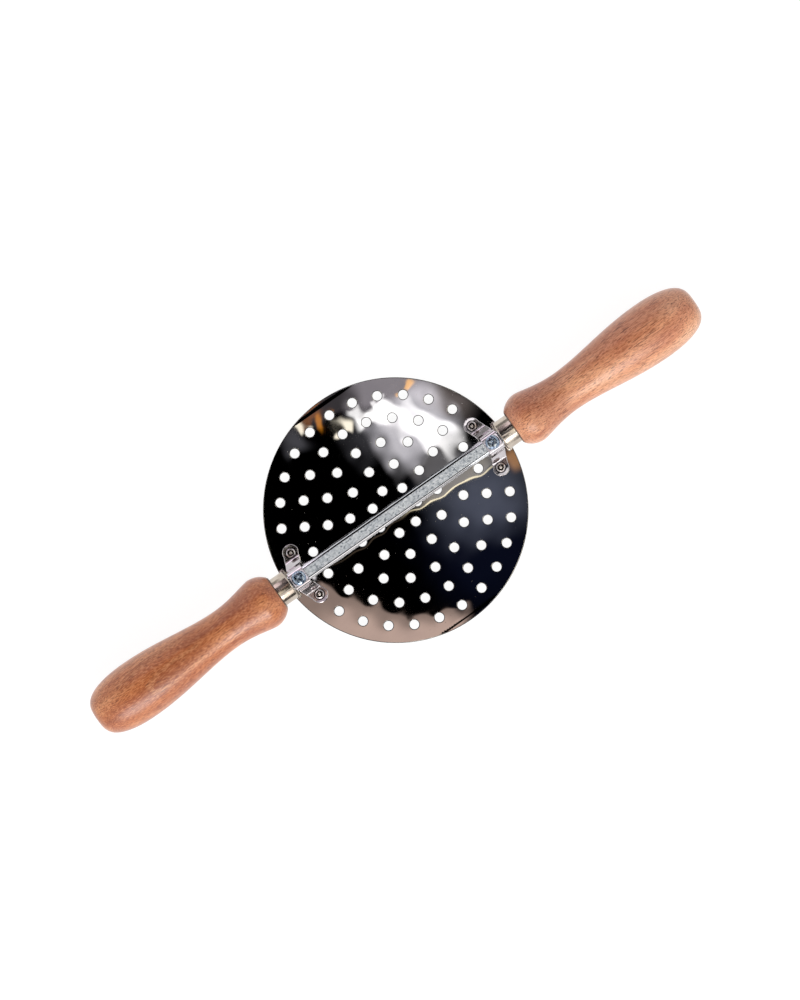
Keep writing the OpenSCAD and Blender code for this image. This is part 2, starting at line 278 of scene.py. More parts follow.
def plate(loops, fill, surface, thickness, edge, upright=False):
    """A sheet with rounded edges. loops[0] is its outline and the others its holes, as flat points.
    surface gives each flat point's place on the upper face, its normal and the two flat axes there.
    Its walls stand square to it, or upright."""
    def sunk(place, up, depth):
        return place - depth * (np.array((0.0, 0.0, 1.0)) / up[:, 2:] if upright else up)

    away = [outward(loop, k > 0) for k, loop in enumerate(loops)]
    flat = [loop - edge * out for loop, out in zip(loops, away)]
    owner = [np.full(len(loop), k) for k, loop in enumerate(loops)]
    owner = np.concatenate(owner + [np.full(len(fill), -1)])
    flat_points = np.concatenate(flat + [np.array(fill).reshape(-1, 2)])
    first = np.cumsum([0] + [len(loop) for loop in loops]).tolist()
    borders = []
    for start, loop in zip(first, loops):
        borders += [(start + k, start + (k + 1) % len(loop)) for k in range(len(loop))]
    made = delaunay_2d_cdt([Vector(p) for p in flat_points / MM], borders, [], 0, 1e-6)
    sources = [source[0] for source in made[3]]
    triangles = []
    for face in made[2]:
        a, b, c = (sources[k] for k in face)
        owners = {int(owner[a]), int(owner[b]), int(owner[c])}
        middle = (flat_points[a] + flat_points[b] + flat_points[c]) / 3
        if len(owners) == 1 and -1 not in owners:
            k = owners.pop()
            if inside(middle, flat[k]) == (k > 0):
                continue
        ab = flat_points[b] - flat_points[a]
        ac = flat_points[c] - flat_points[a]
        triangles.append((a, b, c) if ab[0] * ac[1] > ab[1] * ac[0] else (a, c, b))
    top, normal, _, _ = surface(flat_points)
    count = len(flat_points)
    points = [top, sunk(top, normal, thickness)]
    normals = [normal, -normal]
    faces = [list(t) for t in triangles] + [[count + k for k in reversed(t)] for t in triangles]
    base = 2 * count
    half = math.sqrt(0.5)
    # How far in and down each ring of an edge lies, and how far its normal leans up
    edge_rings = ((1 - half, 1 - half, half), (0, 1, 0), (0, -1, 0), (1 - half, half - 1, -half))
    for k, (loop, out) in enumerate(zip(loops, away)):
        size = len(loop)
        rings = [list(range(first[k], first[k] + size))]
        for inset, depth, lean in edge_rings:
            place, up, u, v = surface(loop - inset * edge * out)
            side = out[:, :1] * u + out[:, 1:] * v
            points.append(sunk(place, up, depth * edge if depth > 0 else thickness + depth * edge))
            normals.append(lean * up + math.sqrt(1 - lean * lean) * side)
            rings.append(list(range(base, base + size)))
            base += size
        rings.append([count + n for n in rings[0]])
        flip = turns_left(loop) == (k == 0)
        for low, high in zip(rings, rings[1:]):
            for n in range(size):
                m = (n + 1) % size
                face = [low[n], high[n], high[m], low[m]]
                faces.append(face if flip else face[::-1])
    return np.concatenate(points), faces, np.concatenate(normals)


def circle(x, y, radius, count):
    """Points of a circle, as a loop."""
    angles = np.arange(count) * 2 * math.pi / count
    return np.stack([x + radius * np.cos(angles), y + radius * np.sin(angles)], axis=1)


# Shape of the disc

def die_holes():
    """Places of the die holes, without those that the rivets take."""
    places = [(0.0, 0.0)]
    last = len(RING_HOLES)
    for ring, count in enumerate(RING_HOLES, start=1):
        for k in range(count):
            taken = ring == last and abs(k % (count // 2) - count // 4) == 1
            if not taken:
                angle = math.pi / 2 + 2 * math.pi * k / count
                places.append(moved((0, 0), angle, RING_R * ring / last))
    return np.array(places)


DIE_HOLES = die_holes()
# Low waves left in the sheet by rolling: height and length in mm, and direction in degrees
SHEET_WAVES = ((0.020, 47, 20), (0.014, 33, 100), (0.009, 24, 62))


def disc_surface(flat):
    """The rolled sheet's upper face, with a fine crease and a flat strip beyond it at both ends of the roll,
    a shallow dimple at each hole and the low waves of a hand-fed roller."""
    x, y = flat[:, 0], flat[:, 1]
    rolled = np.clip(y, -CREASE_Y, CREASE_Y)
    slope_y = rolled / np.sqrt(ROLL_R ** 2 - rolled ** 2)
    z = DISC_TOP + ROLL_R - np.sqrt(ROLL_R ** 2 - rolled ** 2) + slope_y * (y - rolled)
    slope_x = np.zeros(len(flat))
    passed = 1 / (1 + np.exp((CREASE_Y - np.abs(y)) / CREASE_WIDTH))
    z = z + CREASE_STEP * passed
    slope_y = slope_y + np.sign(y) * CREASE_STEP / CREASE_WIDTH * passed * (1 - passed)
    for hole_x, hole_y in DIE_HOLES:
        dx, dy = x - hole_x, y - hole_y
        dip = DIMPLE_DEPTH * np.exp(-(dx * dx + dy * dy) / (2 * DIMPLE_SPREAD ** 2))
        z = z - dip
        slope_x = slope_x + dip * dx / DIMPLE_SPREAD ** 2
        slope_y = slope_y + dip * dy / DIMPLE_SPREAD ** 2
    for height, length, turn in SHEET_WAVES:
        pace = 2 * math.pi / (length * MM)
        swing = height * MM * 0.5
        ahead = (math.cos(math.radians(turn)), math.sin(math.radians(turn)))
        phase = pace * (x * ahead[0] + y * ahead[1])
        z = z + swing * np.cos(phase)
        slope_x = slope_x - swing * pace * ahead[0] * np.sin(phase)
        slope_y = slope_y - swing * pace * ahead[1] * np.sin(phase)
    place = np.stack([x, y, z], axis=1)
    u = np.stack([np.ones(len(flat)), np.zeros(len(flat)), slope_x], axis=1)
    v = np.stack([np.zeros(len(flat)), np.ones(len(flat)), slope_y], axis=1)
    normal = np.cross(u, v)
    normal /= np.linalg.norm(normal, axis=1)[:, None]
    return place, normal, u, v


def disc_mesh():
    """The disc's mesh: rings of points round each hole, and an even field between them."""
    rim_points, hole_points, rivet_points = 288, 32, 24
    ring_radii = (3.0 * MM, 3.6 * MM, 4.4 * MM)
    pitch, field_gap = 1.5 * MM, 5.2 * MM
    rim_ring, rim_clear, rivet_clear = 0.9 * MM, 0.7 * MM, 2.2 * MM
    crease_pitch, crease_rows = 0.7 * MM, (-2.5, -1.2, 0, 1.2, 2.5)
    rivets = [(side * RIVET_X, row * RIVET_Y) for side in SIDES.values() for row in ROWS.values()]
    loops = [circle(0, 0, DISC_R, rim_points)]
    loops += [circle(x, y, HOLE_R, hole_points) for x, y in DIE_HOLES]
    loops += [circle(x, y, RIVET_HOLE_R, rivet_points) for x, y in rivets]
    fill = [circle(x, y, radius, hole_points - 4) for x, y in DIE_HOLES for radius in ring_radii]
    steps = np.arange(-DISC_R, DISC_R, pitch)
    field = np.array([(x + (k % 2) * pitch / 2, y) for k, y in enumerate(steps) for x in steps])
    gap = np.min(np.linalg.norm(field[:, None] - DIE_HOLES[None], axis=2), axis=1)
    fill.append(field[gap > field_gap])
    fill.append(circle(0, 0, DISC_R - rim_ring, rim_points))
    crease_half = math.sqrt(DISC_R ** 2 - CREASE_Y ** 2)
    for row in crease_rows:
        for x in np.arange(-crease_half, crease_half, crease_pitch):
            fill.append(np.array([(x, end * (CREASE_Y + row * CREASE_WIDTH)) for end in ROWS.values()]))
    fill = np.concatenate(fill)
    reach = np.linalg.norm(fill, axis=1)
    clear = np.min(np.linalg.norm(fill[:, None] - np.array(rivets)[None], axis=2), axis=1)
    fill = fill[(reach < DISC_R - rim_clear) & (clear > rivet_clear)]
    return smooth_mesh("disc", *plate(loops, fill, disc_surface, SHEET_T, SHEET_EDGE, upright=True))


# Shape of a bracket

def strap_path():
    """The strap's upper face in Y and Z as straight runs and bends: the roof's half, the leg, the flared
    shin, the foot and its toe, which curls up a little."""
    roof_z = ROOF_Z + STRAP_T
    knee = Vector((LEG_TOP_Y + STRAP_T, roof_z))
    ahead = Vector((math.cos(RIVET_TILT), math.sin(RIVET_TILT)))
    foot = Vector((RIVET_Y, foot_height(RIVET_Y, STRAP_T)))
    heel = foot + ahead * ((HEEL_Y - RIVET_Y) / ahead.x)
    shin = heel + Vector((-SHIN_RISE, SHIN_RISE))
    corners = [Vector((0, roof_z)), knee, shin, heel, foot]
    runs = rounded_path(corners, (ROOF_BEND_R, SHIN_BEND_R, FOOT_BEND_R))
    return runs + [(foot, RIVET_TILT, 1 / TOE_CURL_R, STRAP_W)]


def foot_height(y, above):
    """Height of the foot at y, at a distance above its lower face."""
    radius = ROLL_R - SEAT - above
    return DISC_TOP + ROLL_R - math.sqrt(radius ** 2 - y ** 2)


def rounded_path(corners, radii):
    """Straight runs between corners, joined by bends: (start, heading, turn per length, length) of each."""
    runs = []
    start = corners[0]
    for k, radius in enumerate(radii):
        before = (corners[k + 1] - corners[k]).normalized()
        after = (corners[k + 2] - corners[k + 1]).normalized()
        turn = math.atan2(before.x * after.y - before.y * after.x, before.dot(after))
        cut = radius * math.tan(abs(turn) / 2)
        heading = math.atan2(before.y, before.x)
        bend_start = corners[k + 1] - before * cut
        runs.append((start, heading, 0.0, (bend_start - start).length))
        runs.append((bend_start, heading, math.copysign(1 / radius, turn), radius * abs(turn)))
        start = corners[k + 1] + after * cut
    last = corners[-1] - start
    runs.append((start, math.atan2(last.y, last.x), 0.0, last.length))
    return runs


STRAP_RUNS = strap_path()


def strap_point(s):
    """Place (y, z) and heading of the strap's upper face at a distance from the middle of the roof."""
    left = abs(s)
    for start, heading, rate, length in STRAP_RUNS:
        if left <= length:
            break
        left -= length
    if rate:
        end = heading + rate * left
        y = start.x + (math.sin(end) - math.sin(heading)) / rate
        z = start.y - (math.cos(end) - math.cos(heading)) / rate
        heading = end
    else:
        y = start.x + left * math.cos(heading)
        z = start.y + left * math.sin(heading)
    return (y, z, heading) if s >= 0 else (-y, z, -heading)


def strap_middle(y):
    """Middle of the strap along the bar: over the screw on the roof, over the rivet on the foot."""
    bend = LEG_TOP_Y + STRAP_T
    share = min(max((abs(y) - bend) / (RIVET_Y - bend), 0.0), 1.0)
    return STRAP_X + (RIVET_X - STRAP_X) * share


def strap_surface(flat):
    """The strap's upper face: flat points are (distance along the strap, place along the bar)."""
    place, normal, u = [], [], []
    for s, x in flat:
        y, z, heading = strap_point(s)
        place.append((x, y, z))
        u.append((0, math.cos(heading), math.sin(heading)))
        normal.append((0, -math.sin(heading), math.cos(heading)))
    v = np.tile((1.0, 0.0, 0.0), (len(flat), 1))
    return np.array(place), np.array(normal), np.array(u), v


def strap_rows():
    """Distances along the strap at which it has a row of points, close together in the bends, and the
    distance of the rivet."""
    bend_step, run_step = math.radians(9), 0.9 * MM
    rows, at = [0.0], 0.0
    for _, _, rate, length in STRAP_RUNS[:-1]:
        steps = max(2, round(length * abs(rate) / bend_step)) if rate else round(length / run_step)
        rows += [at + length * k / steps for k in range(1, steps + 1)]
        at += length
    return [-s for s in reversed(rows[1:])] + rows, at


def bracket_mesh(side):
    """A bracket's mesh, drawn on the right and mirrored for the left."""
    rows, rivet = strap_rows()
    half = STRAP_W / 2
    side_inset, hole_clear, toe_inset = 0.8 * MM, 0.5 * MM, 0.6 * MM
    toe_rows = (1.3 * MM, 2.6 * MM)
    middles = [strap_middle(strap_point(s)[0]) for s in rows]
    ends = [math.radians(a) for a in range(-80, 81, 10)]
    outline = [(s, x - half) for s, x in zip(rows, middles)]
    outline += [moved((rivet, RIVET_X), a, half) for a in ends]
    outline += [(s, x + half) for s, x in zip(reversed(rows), reversed(middles))]
    outline += [moved((-rivet, RIVET_X), a, -half) for a in ends]
    holes = [(0, STRAP_X, SCREW_HOLE_R, 32)]
    holes += [(s, RIVET_X, RIVET_HOLE_R, 24) for s in (-rivet, rivet)]
    loops = [np.array(outline)] + [circle(*hole) for hole in holes]
    columns = np.linspace(-half + side_inset, half - side_inset, 8)
    fill = [(s, x + c) for s, x in zip(rows, middles) for c in columns]
    for sign in (-1, 1):
        for row in toe_rows:
            fill += [(sign * (rivet + row), RIVET_X + c) for c in columns[1:-1]]

    def fits(point):
        clear = all(math.dist(point, hole[:2]) > hole[2] + hole_clear for hole in holes)
        on_toe = math.dist((abs(point[0]), point[1]), (rivet, RIVET_X)) < half - toe_inset
        return clear and (abs(point[0]) < rivet or on_toe)

    fill = [point for point in fill if fits(point)]
    points, faces, normals = plate(loops, fill, strap_surface, STRAP_T, STRAP_EDGE)
    # The flat axes (along the strap, along the bar) are left-handed on the right and right-handed on the left
    if side == LEFT:
        mirror = np.array((LEFT, 1, 1))
        return smooth_mesh("bracket", points * mirror, faces, normals * mirror)
    return smooth_mesh("bracket", points, [face[::-1] for face in faces], normals)


# Shapes that are turned on a lathe

def cap_radius(width, height):
    """Radius of the ball whose top is a cap of that half width and height."""
    return (width ** 2 + height ** 2) / (2 * height)


def cap_profile(width, height, steps, start=0.0):
    """Points (r, z) of a cap standing on Z = 0, from radius start out to its rim."""
    ball = cap_radius(width, height)
    radii = [start + (width - start) * math.sin(math.pi / 2 * k / steps) for k in range(steps + 1)]
    return [(r, math.sqrt(ball ** 2 - r ** 2) - ball + height) for r in radii]


def ease(u, bias):
    """Share of a rise, slow at both ends, at a share of the way. A bias below 1 starts it sooner."""
    return (1 - math.cos(math.pi * u ** bias)) / 2


def handle_profile():
    """Outline of the turned handle as (radius, distance from its shoulder), tenon first."""
    steps = 30
    edge = 0.35 * MM
    waist_bias, belly_bias = 0.7, 0.9
    nose_along, nose_across = 2.15, 3.5
    shares = [k / steps for k in range(1, steps + 1)]
    drop = BULB_R - SHOULDER_R
    bulb_round = cap_radius(BULB_AT, drop)
    nose_share = (1 - (END_FLAT_R / BELLY_R) ** nose_across) ** (1 / nose_along)
    nose_len = (GRIP_LEN - BELLY_AT) / nose_share
    points = [(0, -TENON_LEN), (TENON_R, -TENON_LEN), (TENON_R, 0)]
    points += [(SHOULDER_R - edge, 0), (SHOULDER_R - 0.3 * edge, 0.25 * edge)]
    for u in shares:
        t = edge + u * (BULB_AT - edge)
        points.append((BULB_R - bulb_round + math.sqrt(bulb_round ** 2 - (BULB_AT - t) ** 2), t))
    for start, end, start_at, end_at, bias in (
        (BULB_R, WAIST_R, BULB_AT, WAIST_AT, waist_bias),
        (WAIST_R, BELLY_R, WAIST_AT, BELLY_AT, belly_bias),
    ):
        for u in shares:
            points.append((start + (end - start) * ease(u, bias), start_at + u * (end_at - start_at)))
    for u in shares:
        u = math.sin(math.asin(nose_share) * u)
        points.append((BELLY_R * (1 - u ** nose_along) ** (1 / nose_across), BELLY_AT + u * nose_len))
    return points + [(END_FLAT_R * 0.6, GRIP_LEN), (0, GRIP_LEN)]


def ferrule_profile():
    """Closed section of a drawn cap, from its opening round the lip and back along the inside."""
    outer, lip = FERRULE_R, FERRULE_ROUND
    bore = TENON_R + FIT
    lip_break, rim_break = 0.2 * MM, 0.15 * MM
    points = [(LIP_HOLE_R, lip_break), (LIP_HOLE_R + lip_break, 0)]
    points += arc((outer - lip, lip), lip, -90, 0, 8)
    points += [(outer, FERRULE_LEN - rim_break), (outer - rim_break, FERRULE_LEN)]
    return points + [(bore, FERRULE_LEN), (bore, FERRULE_WALL), (LIP_HOLE_R, FERRULE_WALL)]


def rivet_profile():
    """Closed section of a set blind rivet, measured from the sheet's upper face."""
    bore = MANDREL_R + FIT
    lip = 0.1 * MM
    head_z = -SHEET_T - SEAT
    tail_z = 2 * SEAT + STRAP_T
    round_r = RIVET_TAIL_H / 2
    top = tail_z + RIVET_TAIL_H
    points = [(r, head_z - z) for r, z in cap_profile(RIVET_HEAD_R, RIVET_HEAD_H, 8, start=bore)]
    points += [(RIVET_BODY_R, head_z), (RIVET_BODY_R, tail_z)]
    points += arc((RIVET_TAIL_R - round_r, tail_z + round_r), round_r, -90, 90, 12)
    points += [(CUP_R + 0.8 * lip, top - 0.1 * lip), (CUP_R, top - lip)]
    return points + [(CUP_R - lip, top - CUP_DEPTH), (bore, top - CUP_DEPTH)]


def mandrel_profile():
    """Section of the mandrel left in a rivet, with a low dome where its stem broke off."""
    floor = 2 * SEAT + STRAP_T + RIVET_TAIL_H - CUP_DEPTH
    end = -SHEET_T - MANDREL_REACH
    head = [(r, floor + SEAT + z) for r, z in cap_profile(MANDREL_HEAD_R, CUP_DEPTH, 7)]
    return head + [(MANDREL_R, floor + SEAT), (MANDREL_R, end), (0, end)]


def at_rivet(side, row):
    """Stands a lathe's Z axis on the sheet at a rivet, square to the sheet."""
    pivot = Matrix.Translation((side * RIVET_X, 0, DISC_TOP + ROLL_R))
    return pivot @ Matrix.Rotation(row * RIVET_TILT, 4, "X") @ Matrix.Translation((0, 0, -ROLL_R))


def squeezed(turn):
    """A rivet's tail, pulled a little out of round as it was set."""
    tail_z, rim_r = 1.1 * STRAP_T, CUP_R - 0.2 * MM

    def shape(point):
        if point.z < tail_z or math.hypot(point.x, point.y) < rim_r:
            return point
        angle = math.atan2(point.y, point.x)
        pull = 1 + sum(share * math.cos(lobes * angle + way * turn) for share, lobes, way in TAIL_WAVES)
        return Vector((point.x * pull, point.y * pull, point.z))
    return shape


def screw_profile():
    """Section of a pan-head screw from the middle of its top to the end of its body."""
    crown = SCREW_HEAD_H - PAN_RIM_H
    flatness, fall = 3.4, 0.6
    rim_break = 0.15 * MM
    end = SCREW_LOW.z - SCREW_SEAT_Z
    shares = [k / 40 for k in range(37)]
    shares += [math.sin(math.pi / 2 * (0.72 + 0.035 * k)) for k in range(1, 9)]
    points = [(SCREW_HEAD_R * s, PAN_RIM_H + crown * (1 - s ** flatness) ** fall) for s in shares]
    points += [(SCREW_HEAD_R, rim_break), (SCREW_HEAD_R - rim_break, 0), (SCREW_BODY_R, 0)]
    return points + [(SCREW_BODY_R, end), (0, end)]


def soft_step(value, low, high):
    """0 at low, 1 at high, and a soft change between them."""
    share = min(max((value - low) / (high - low), 0.0), 1.0)
    return share * share * (3 - 2 * share)


def recessed(turn):
    """Presses a cross recess into the top of a screw's head. Its arms narrow and rise towards their ends."""
    blur = 0.12 * MM
    root, narrowing, rise = 1.15, 0.3, 0.35

    def shape(point):
        if point.z <= 0:
            return point
        flat = Matrix.Rotation(-math.radians(turn), 2) @ Vector((point.x, point.y))
        depth = 0.0
        for along, across in ((flat.x, flat.y), (flat.y, flat.x)):
            share = abs(along) / RECESS_HALF
            half_w = RECESS_W / 2 * (root - narrowing * share)
            wide = 1 - soft_step(abs(across), half_w - blur, half_w + blur)
            long = 1 - soft_step(abs(along), RECESS_HALF - 3 * blur, RECESS_HALF + blur)
            depth = max(depth, wide * long * (1 - rise * share))
        return Vector((point.x, point.y, point.z - RECESS_DEPTH * depth))
    return shape


def bar_mesh():
    """The square bar with rounded edges and a round tang at each end."""
    corner_steps = 10
    face_edge, end_break = 0.15 * MM, 0.25 * MM
    half = BAR_W / 2
    section = []
    for k, turn in enumerate((0, 90, 180, 270)):
        sign_y = 1 if k in (0, 3) else -1
        sign_z = 1 if k in (0, 1) else -1
        centre = (sign_y * (half - BAR_EDGE), sign_z * (half - BAR_EDGE))
        corner = arc(centre, BAR_EDGE, turn, turn + 90, corner_steps)
        section.append(moved(corner[0], math.radians(turn - 90), face_edge))
        section += corner
        section.append(moved(corner[-1], math.radians(turn + 180), face_edge))
    count = len(section)
    small = 1 - end_break / half
    tang = [moved((0, 0), math.atan2(z, y), TANG_R) for y, z in section]
    bar_half = BAR_HIGH.x - TANG_LEN
    ends = [(bar_half - end_break, section), (bar_half, [(y * small, z * small) for y, z in section])]
    ends += [(bar_half, tang), (bar_half + TANG_LEN, tang)]
    rings = [(-x, ring) for x, ring in reversed(ends)] + ends
    points = [(x, y, AXIS_Z + z) for x, ring in rings for y, z in ring]
    last = (len(rings) - 1) * count
    faces = []
    for low in range(0, last, count):
        high = low + count
        for n in range(count):
            m = (n + 1) % count
            faces.append([low + n, low + m, high + m, high + n])
    faces += [list(range(count)), list(range(last, last + count))]
    return smooth_mesh("bar", points, faces, sharp_angle=40)


# Materials

def linear(red, green, blue):
    """A screen colour, 0 to 255, as the linear colour that a shader takes."""
    shares = [c / 255 for c in (red, green, blue)]
    return tuple(((s + 0.055) / 1.055) ** 2.4 if s > 0.04 else s / 12.92 for s in shares) + (1.0,)


class Paint:
    """Short hand for the node tree of a material or of the world."""

    def __init__(self, name, owners="materials", output="OutputMaterial"):
        self.owner = getattr(bpy.data, owners).new(name)
        self.owner.use_nodes = True
        self.tree = self.owner.node_tree
        self.tree.nodes.clear()
        self.output = self.node(output)
        self.place = self.node("TexCoord").outputs["Object"]

    def node(self, kind, inputs=None, **settings):
        """A new node. Its inputs are linked to sockets or get plain values."""
        made = self.tree.nodes.new("ShaderNode" + kind)
        for name, value in settings.items():
            setattr(made, name, value)
        for key, value in (inputs or {}).items():
            if isinstance(value, bpy.types.NodeSocket):
                self.tree.links.new(value, made.inputs[key])
            else:
                made.inputs[key].default_value = value
        return made

    def out(self, kind, inputs=None, **settings):
        """The first output of a new node."""
        return self.node(kind, inputs, **settings).outputs[0]

    def stretched(self, scale, shift=(0, 0, 0), turn=(0, 0, 0)):
        """Object coordinates in metres, scaled by features per metre."""
        inputs = {"Vector": self.place, "Scale": scale, "Location": shift, "Rotation": turn}
        return self.out("Mapping", inputs)

    def noise(self, scale, shift=(0, 0, 0), detail=3.0, rough=0.55):
        inputs = {"Vector": self.stretched(scale, shift), "Scale": 1.0, "Detail": detail, "Roughness": rough}
        return self.node("TexNoise", inputs).outputs["Fac"]

    def math(self, operation, first, second=0.0):
        return self.out("Math", {0: first, 1: second}, operation=operation)

    def vector(self, operation, first, second=(0, 0, 0)):
        made = self.node("VectorMath", {0: first, 1: second}, operation=operation)
        return made.outputs["Value" if operation == "DISTANCE" else "Vector"]

    def parts(self, vector):
        return self.node("SeparateXYZ", {0: vector}).outputs

    def looks(self):
        """How far the surface looks along each axis, from 0 to 1."""
        return self.parts(self.vector("ABSOLUTE", self.node("NewGeometry").outputs["Normal"]))

    def edges(self):
        """1 where the surface looks along one axis, and less on a rounded edge between two such faces."""
        along = self.looks()
        return self.math("MAXIMUM", self.math("MAXIMUM", along["X"], along["Y"]), along["Z"])

    def from_rivets(self):
        """Level distance from the axis of the nearest rivet."""
        level = self.vector("MULTIPLY", self.vector("ABSOLUTE", self.place), (1, 1, 0))
        return self.vector("DISTANCE", level, (RIVET_X, RIVET_Y, 0))

    def ramp(self, value, *stops):
        """Colours or greys at places from 0 to 1."""
        made = self.node("ValToRGB", {"Fac": value})
        while len(made.color_ramp.elements) < len(stops):
            made.color_ramp.elements.new(0.5)
        for element, (place, colour) in zip(made.color_ramp.elements, stops):
            element.position = place
            element.color = colour if isinstance(colour, tuple) else (colour, colour, colour, 1.0)
        return made.outputs["Color"]

    def fade(self, value, nothing, full):
        """0 at one value and 1 at the other, with a soft change between them."""
        inputs = {"Value": value, 1: nothing, 2: full, 3: 0.0, 4: 1.0}
        return self.out("MapRange", inputs, interpolation_type="SMOOTHSTEP")

    def band(self, value, start, full, last, end):
        """1 from full to last, and 0 before start and after end."""
        return self.math("MULTIPLY", self.fade(value, start, full), self.fade(value, end, last))

    def blend(self, share, first, second):
        return self.node("Mix", {0: share, 6: first, 7: second}, data_type="RGBA").outputs[2]

    def bump(self, height, distance, strength):
        return self.out("Bump", {"Height": height, "Distance": distance, "Strength": strength})

    def finish(self, shader):
        self.tree.links.new(shader, self.output.inputs[0])
        return self.owner

    def finish_seen(self, plain, shown):
        """One shader for plain light, and another for rays from the camera, off metal and through glass."""
        rays = self.node("LightPath").outputs
        share = rays["Is Camera Ray"]
        for name in ("Is Glossy Ray", "Is Transmission Ray"):
            share = self.math("MAXIMUM", share, rays[name])
        return self.finish(self.out("MixShader", {0: share, 1: plain, 2: shown}))

    def principled(self, inputs):
        return self.finish(self.out("BsdfPrincipled", inputs))

    def metal(self, colour, haze, height, depth, strength, bare=1.0):
        """A finished metal with a fine relief of a depth in metres."""
        relief = self.bump(height, depth, strength)
        return self.principled({"Base Color": colour, "Metallic": bare, "Roughness": haze, "Normal": relief})


def polished_steel():
    """Mirror sheet with a faint cloudiness, specks of dust, and dull edges where it was sheared, darkened
    with painted shade.
    """
    paint = Paint("polished_steel")
    cloud = paint.noise((60, 90, 60), detail=4)
    dust = paint.ramp(paint.noise((700, 700, 700), detail=1), (0.77, 0.0), (0.81, 0.22))
    # Painted shade: the edges of the holes and rim are darkened in colour, and made rougher
    dull_edges_and_painted_shade = paint.ramp(paint.looks()["Z"], (0.93, 1.0), (0.968, 0.0))
    colour = paint.ramp(cloud, (0.3, (0.58, 0.57, 0.57, 1)), (0.7, (0.66, 0.645, 0.635, 1)))
    colour = paint.blend(dull_edges_and_painted_shade, colour, (0.045, 0.042, 0.04, 1))
    haze = paint.ramp(cloud, (0.35, 0.012), (0.75, 0.034))
    haze = paint.math("MAXIMUM", paint.math("MAXIMUM", haze, dust), paint.math("MULTIPLY", dull_edges_and_painted_shade, 0.5))
    return paint.principled({"Base Color": colour, "Metallic": 1.0, "Roughness": haze})


def strap_steel():
    """Polished strap with rolling lines along it and a dark ring round the rivets: painted contact shadow
    with some grime.
    """
    paint = Paint("strap_steel")
    cloud = paint.noise((220, 160, 220), detail=4)
    colour = paint.ramp(cloud, (0.3, (0.52, 0.49, 0.51, 1)), (0.7, (0.64, 0.605, 0.625, 1)))
    # Painted contact shadow, with some grime, in a ring round each rivet tail
    painted_shade = paint.fade(paint.from_rivets(), RIVET_TAIL_R + RIVET_SHADE_W, RIVET_TAIL_R + 0.3 * RIVET_SHADE_W)
    colour = paint.blend(painted_shade, colour, linear(44, 40, 42))
    haze = paint.ramp(cloud, (0.3, 0.05), (0.7, 0.1))
    lines = paint.noise((1800, 60, 60), detail=2)
    return paint.metal(colour, haze, lines, 0.003 * MM, 0.3)


def zinc_plate():
    """Satin zinc with a fine spangle and darker specks, rubbed bright along the bar's edges, with a painted
    dark reflection line beside each."""
    paint = Paint("zinc_plate")
    grain = paint.noise((800, 900, 900), detail=3, rough=0.7)
    specks = paint.noise((620, 900, 900), (3.1, 1.7, 0.4), detail=2)
    patches = paint.noise((60, 220, 220), detail=3)
    rubbed = paint.ramp(paint.edges(), (0.9945, 1.0), (0.9992, 0.0))
    # Painted reflection: a dark line beside each rubbed edge stands in for reflected shade
    painted_shade = paint.ramp(paint.edges(), (0.94, 0.0), (0.96, 0.9), (0.9975, 0.9), (0.9996, 0.0))
    tones = (linear(166, 175, 184), linear(206, 212, 218), linear(236, 239, 242))
    colour = paint.ramp(grain, *zip((0.3, 0.5, 0.72), tones))
    colour = paint.blend(paint.ramp(specks, (0.56, 0.0), (0.66, 0.8)), colour, linear(98, 108, 120))
    colour = paint.blend(paint.ramp(patches, (0.4, 0.0), (0.7, 0.2)), colour, linear(160, 170, 182))
    colour = paint.blend(rubbed, colour, linear(212, 214, 219))
    colour = paint.blend(painted_shade, colour, linear(38, 40, 44))
    haze = paint.ramp(grain, (0.3, 0.42), (0.7, 0.56))
    haze = paint.blend(rubbed, haze, (0.06, 0.06, 0.06, 1))
    bare = paint.ramp(rubbed, (0.0, 0.58), (1.0, 1.0))
    return paint.metal(colour, haze, grain, 0.012 * MM, 0.3, bare)


def blue_zinc():
    """Blue-passivated screw heads with paler wear."""
    paint = Paint("blue_zinc")
    cloud = paint.noise((800, 800, 800), detail=4)
    tones = (linear(86, 102, 124), linear(146, 161, 180), linear(230, 235, 240))
    colour = paint.ramp(cloud, *zip((0.3, 0.52, 0.74), tones))
    haze = paint.ramp(cloud, (0.3, 0.14), (0.7, 0.3))
    return paint.metal(colour, haze, cloud, 0.02 * MM, 0.4)


def rivet_steel():
    """Plain drawn steel with painted shade in the cup of each set tail."""
    paint = Paint("rivet_steel")
    cup_edge = 0.1 * MM
    cloud = paint.noise((900, 900, 900), detail=4)
    colour = paint.ramp(cloud, (0.3, linear(172, 164, 166)), (0.7, linear(218, 212, 212)))
    # Painted shade: the cup of each set tail is darkened
    painted_cup_shade = paint.fade(paint.from_rivets(), CUP_R + cup_edge, CUP_R - cup_edge)
    above = paint.fade(paint.parts(paint.place)["Z"], DISC_TOP, DISC_TOP + STRAP_T)
    colour = paint.blend(paint.math("MULTIPLY", painted_cup_shade, above), colour, linear(34, 30, 30))
    haze = paint.ramp(cloud, (0.3, 0.1), (0.7, 0.2))
    return paint.metal(colour, haze, cloud, 0.015 * MM, 0.3)


def mandrel_steel():
    """Bright wire with a torn end."""
    paint = Paint("mandrel_steel")
    torn = paint.noise((2400, 2400, 2400), detail=4)
    colour = paint.ramp(torn, (0.35, linear(186, 178, 172)), (0.65, linear(232, 224, 216)))
    haze = paint.ramp(torn, (0.3, 0.18), (0.7, 0.34))
    return paint.metal(colour, haze, torn, 0.04 * MM, 0.5)


